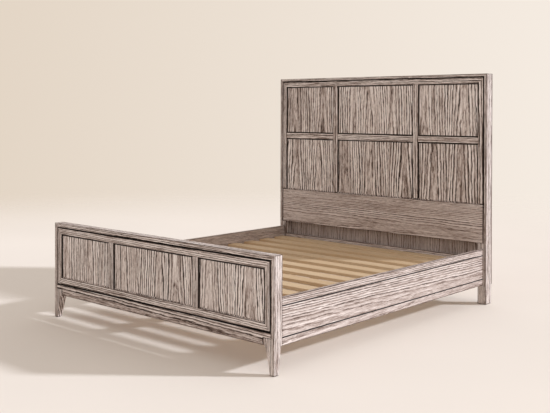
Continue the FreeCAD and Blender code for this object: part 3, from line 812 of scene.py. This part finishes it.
def screw_head(radius, dome):
    """Screw head with a cross recess, seat at Z = 0.

    The top is dome (1 - s s) at the share s of the radius. The recess is two crossed slots with soft
    edges, deepest in the middle. Below the seat a cone runs to the shank.
    """
    angle = round_angles(SCREW_COLUMNS)
    ring = np.ones(SCREW_COLUMNS)
    share = np.linspace(1.0, SCREW_MIDDLE, SCREW_ROWS)[:, None]
    x = np.abs(share * np.cos(angle))
    y = np.abs(share * np.sin(angle))

    def slot(along, across):
        sides = smooth((SLOT_ARM - across) / SLOT_SOFT + 0.5)
        return sides * smooth((SLOT_REACH - along) / SLOT_SOFT + 0.5)

    recess = np.maximum(slot(x, y), slot(y, x)) * (RECESS_DEPTH - RECESS_RISE * share) * radius
    top = dome * (1.0 - share * share) - recess
    cone = np.array(SCREW_CONE) * radius
    radii = np.concatenate([cone[:, :1] * ring, share * radius * ring])
    levels = np.concatenate([cone[:, 1:] * ring, top])
    return lathe(radii, levels, SCREW_COLUMNS)


def screws(name, size, groups):
    """Piece made of screw heads; size is (radius, dome) and groups are (spots, outward)."""
    head = screw_head(*size)
    points, faces = joined([copies(head, spots, outward) for spots, outward in groups])
    piece = mesh_piece(name, points, faces, ZINC)
    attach(piece, ROOT)


def slat_screws():
    """Two screws through each end of a slat into the cleat, and one into the beam."""
    cleat_low, cleat_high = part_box("slat_cleat_right")
    seat_x = (cleat_low.x + cleat_high.x) / 2
    places = [(x, y) for x in (-seat_x, seat_x) for y in (-SLAT_SCREW_OFF, SLAT_SCREW_OFF)]
    places.append((0.0, 0.0))
    boxes = [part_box(node) for node in sorted(NODES) if node.startswith(SLATS)]
    tops = [((low.y + high.y) / 2, high.z) for low, high in boxes]
    spots = [(x, middle + y, top) for middle, top in tops for x, y in places]
    screws("slat_screws", SLAT_SCREW, [(spots, (0, 0, 1))])


def cleat_screws():
    """A row of screws through each cleat into its side rail."""
    low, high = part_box("slat_cleat_right")
    level = (low.z + high.z) / 2
    runs = np.linspace(low.y + CLEAT_SCREW_END, high.y - CLEAT_SCREW_END, CLEAT_SCREW_COUNT)
    right = [(low.x, y, level) for y in runs]
    left = [(-low.x, y, level) for y in runs]
    screws("cleat_screws", CLEAT_SCREW, [(right, (-1, 0, 0)), (left, (1, 0, 0))])


def hanger_screws():
    """Screws through the beam hangers' plates into the boards, and through their cheeks into the beam."""
    hanger_low, hanger_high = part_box("beam_hangers")
    beam_low, beam_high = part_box("centre_beam")
    plate_x = hanger_high.x - HANGER_SCREW_IN
    levels = (beam_low.z + HANGER_SCREW_LOW, beam_high.z - HANGER_SCREW_HIGH)
    foot = [(x, hanger_low.y + HANGER_GAUGE, z) for x in (-plate_x, plate_x) for z in levels]
    head = [(x, hanger_high.y - HANGER_GAUGE, z) for x in (-plate_x, plate_x) for z in levels]
    cheek_x = beam_high.x + HANGER_PLAY + HANGER_GAUGE
    cheek_y = (hanger_low.y + CHEEK_SCREW_IN, hanger_high.y - CHEEK_SCREW_IN)
    cheek_z = beam_low.z + CHEEK_SCREW_UP
    left = [(-cheek_x, y, cheek_z) for y in cheek_y]
    right = [(cheek_x, y, cheek_z) for y in cheek_y]
    groups = [(foot, (0, 1, 0)), (head, (0, -1, 0)), (left, (-1, 0, 0)), (right, (1, 0, 0))]
    screws("hanger_screws", HANGER_SCREW, groups)


def fork_screws():
    """Screws through the forks of the centre legs into the beam."""
    legs = [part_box(node) for node in ("centre_leg_1", "centre_leg_2")]
    tops = [(high.x, (low.y + high.y) / 2, high.z) for low, high in legs]
    right = [(x, y, top - drop) for x, y, top in tops for drop in FORK_SCREW_DROPS]
    left = [(-x, y, z) for x, y, z in right]
    screws("fork_screws", FORK_SCREW, [(right, (1, 0, 0)), (left, (-1, 0, 0))])


def back_screws():
    """Screws round the back panels of the headboard and the footboard."""
    low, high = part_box("headboard_back_panel")
    side = high.x - HEAD_BACK_IN
    top = high.z - HEAD_BACK_IN
    rise = np.linspace(low.z + HEAD_BACK_LOW, top, HEAD_BACK_RISE_COUNT)
    row = np.linspace(-side, side, HEAD_BACK_ROW_COUNT)[1:-1]
    spots = [(x, high.y, z) for x in (-side, side) for z in rise] + [(x, high.y, top) for x in row]
    screws("headboard_back_screws", HEAD_BACK_SCREW, [(spots, (0, 1, 0))])

    low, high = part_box("footboard_back_panel")
    side = high.x - FOOT_BACK_IN
    levels = (low.z + FOOT_BACK_IN, high.z - FOOT_BACK_IN)
    row = np.linspace(-side, side, FOOT_BACK_ROW_COUNT)
    spots = [(x, high.y, z) for x in row for z in levels]
    spots += [(x, high.y, (levels[0] + levels[1]) / 2) for x in (-side, side)]
    screws("footboard_back_screws", FOOT_BACK_SCREW, [(spots, (0, 1, 0))])


def levelling_foot(node):
    """Levelling foot: a rounded disc, a hexagon for the spanner and a threaded stud, all round Z.

    The hexagon's reach is its apothem over the cosine of the angle from the middle of a flat. The
    thread's reach falls from the crest by a triangle wave of height over pitch less turns.
    """
    low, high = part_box(node)
    tall = high.z - low.z
    angle = round_angles(FOOT_COLUMNS)
    ring = np.ones(FOOT_COLUMNS)
    swing = np.linspace(0.0, math.pi / 2, FOOT_ROUND_STEPS)
    inner = high.x - FOOT_ROUND
    upper = FOOT_TOP - FOOT_ROUND
    rise = FOOT_ROUND * np.sin(swing)
    fall = FOOT_ROUND * np.cos(swing)
    disc_r = np.concatenate([[high.x - FOOT_SOLE_IN], inner + rise, inner + fall, NECK_RADII])
    disc_z = np.concatenate([[0.0], FOOT_ROUND - fall, upper + rise, NECK_LEVELS])

    flat = np.mod(angle, math.pi / 3) - math.pi / 6
    hexagon = HEX_APOTHEM / np.cos(flat)
    hex_r = np.stack([hexagon, hexagon, np.minimum(hexagon, HEX_CHAMFER), HEX_TOP_RADIUS * ring])

    stud_start = HEX_LEVELS[-1]
    stud_z = np.arange(stud_start, tall - STUD_STOP, PITCH / STEPS_PER_TURN)
    wave = np.mod(stud_z[:, None] / PITCH - angle / FULL_TURN, 1.0)
    depth = THREAD_DEPTH * smooth((stud_z - stud_start) / THREAD_RUN_IN)[:, None]
    stud_r = STUD_RADIUS - depth * (1.0 - np.clip(np.abs(2.0 * wave - 1.0) * THREAD_FLANK, 0.0, 1.0))
    tip_r = np.array([STUD_RADIUS - THREAD_DEPTH, TIP_RADIUS])
    tip_z = np.array([tall - TIP_HEIGHT, tall])

    radius = np.concatenate([disc_r[:, None] * ring, hex_r, stud_r, tip_r[:, None] * ring])
    height = np.concatenate([disc_z, HEX_LEVELS, stud_z, tip_z]) + low.z
    points, faces = lathe(radius, height, FOOT_COLUMNS)
    points = points + np.array([0.0, (low.y + high.y) / 2, 0.0])
    piece = mesh_piece("threaded_" + node, points, faces, ZINC)
    crease = piece.modifiers.new("crease", "EDGE_SPLIT")
    crease.split_angle = CREASE_ANGLE
    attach(piece, node)
    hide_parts(node)


def floor_material():
    """Faintly clouded floor that turns clear far from the bed, where the backdrop shows."""
    material, tree, shader = new_material("pale_floor")
    dim = tuple(FLOOR_DIM * part for part in FLOOR_COLOUR)
    stops = list(zip(FLOOR_CLOUD_ENDS, (dim, FLOOR_COLOUR)))
    cloud = even_noise(tree, *FLOOR_CLOUD)
    tree.links.new(ramp(tree, cloud, stops), shader.inputs["Base Color"])
    shader.inputs["Roughness"].default_value = FLOOR_ROUGH
    shader.inputs["Specular IOR Level"].default_value = FLOOR_GLOSS
    distance = vector_calc(tree, "LENGTH", object_place(tree), output="Value")
    clear = put(tree, "ShaderNodeBsdfTransparent").outputs[0]
    layers = [(0, fade(tree, distance, *FLOOR_FADE)), (1, shader.outputs[0]), (2, clear)]
    seen = put(tree, "ShaderNodeMixShader", layers).outputs[0]
    tree.links.new(seen, tree.nodes["Material Output"].inputs["Surface"])
    return material


def pale_floor():
    """Flat round floor: rings of points about Z."""
    reach = np.array(FLOOR_RINGS)[:, None]
    angle = round_angles(FLOOR_COLUMNS)
    level = np.zeros((len(reach), FLOOR_COLUMNS))
    points = np.stack([reach * np.cos(angle), reach * np.sin(angle), level], axis=2)
    middle = np.arange(FLOOR_COLUMNS)[None, :] + (len(reach) - 1) * FLOOR_COLUMNS
    faces = [grid_faces(len(reach), FLOOR_COLUMNS), middle]
    piece = mesh_piece("pale_floor", points.reshape(-1, 3), faces, floor_material())


def sky():
    """Even sky light; the camera and mirrors see a cream backdrop, lighter towards the sun."""
    world = bpy.data.worlds.new("pale_sky")
    world.use_nodes = True
    tree = world.node_tree
    light = tree.nodes["Background"]
    light.inputs["Color"].default_value = SKY_COLOUR
    light.inputs["Strength"].default_value = SKY_STRENGTH
    look = put(tree, "ShaderNodeTexCoord").outputs["Generated"]
    level = math.hypot(SUN_FROM[0], SUN_FROM[1])
    sunward = (SUN_FROM[0] / level, SUN_FROM[1] / level, 0.0)
    turn = vector_calc(tree, "DOT_PRODUCT", look, sunward, output="Value")
    span = [("Value", turn), ("From Min", -BACKDROP_SPAN), ("From Max", BACKDROP_SPAN)]
    share = put(tree, "ShaderNodeMapRange", span).outputs[0]
    cream = ramp(tree, share, [(0.0, SHADE_SIDE), (1.0, LIGHT_SIDE)])
    backdrop = put(tree, "ShaderNodeBackground", [("Color", cream), ("Strength", 1.0)]).outputs[0]
    rays = put(tree, "ShaderNodeLightPath").outputs
    seen = calc(tree, "MAXIMUM", rays["Is Camera Ray"], rays["Is Glossy Ray"])
    seen = calc(tree, "MAXIMUM", seen, rays["Is Transmission Ray"])
    mix = put(tree, "ShaderNodeMixShader", [(0, seen), (1, light.outputs[0]), (2, backdrop)])
    tree.links.new(mix.outputs[0], tree.nodes["World Output"].inputs["Surface"])
    bpy.context.scene.world = world


def sun_lamp():
    """Soft sun: the lamp's own -Z axis is turned to shine from SUN_FROM."""
    sun = bpy.data.lights.new("key_light", "SUN")
    sun.energy = SUN_STRENGTH
    sun.angle = SUN_SPREAD
    sun.color = SUN_COLOUR
    lamp = bpy.data.objects.new("key_light", sun)
    heading = math.atan2(SUN_FROM[0], -SUN_FROM[1])
    height = math.atan2(SUN_FROM[2], math.hypot(SUN_FROM[0], SUN_FROM[1]))
    lamp.rotation_euler = (math.pi / 2 - height, 0.0, heading)
    bpy.context.scene.collection.objects.link(lamp)


def camera():
    """Camera at the picture's place, turned by heading, dip and roll; the shift moves the frame down."""
    view = bpy.data.cameras.new("camera")
    view.sensor_fit = "HORIZONTAL"
    view.sensor_width = SENSOR
    view.lens = FOCAL_PIXELS / PICTURE_WIDTH * SENSOR
    view.shift_y = (HORIZON_CENTRE_ROW - PICTURE_HEIGHT / 2) / PICTURE_WIDTH
    eye = bpy.data.objects.new("camera", view)
    turn = Matrix.Rotation(CAMERA_HEADING, 4, "Z")
    dip = Matrix.Rotation(math.pi / 2 - CAMERA_DIP, 4, "X")
    roll = Matrix.Rotation(CAMERA_ROLL, 4, "Z")
    eye.matrix_world = Matrix.Translation(CAMERA_PLACE) @ turn @ dip @ roll
    bpy.context.scene.collection.objects.link(eye)
    bpy.context.scene.camera = eye


dress_frame()
slat_screws()
cleat_screws()
hanger_screws()
fork_screws()
back_screws()
levelling_foot("levelling_foot_1")
levelling_foot("levelling_foot_2")
pale_floor()
sky()
sun_lamp()
camera()
bpy.context.scene.view_settings.view_transform = "Standard"
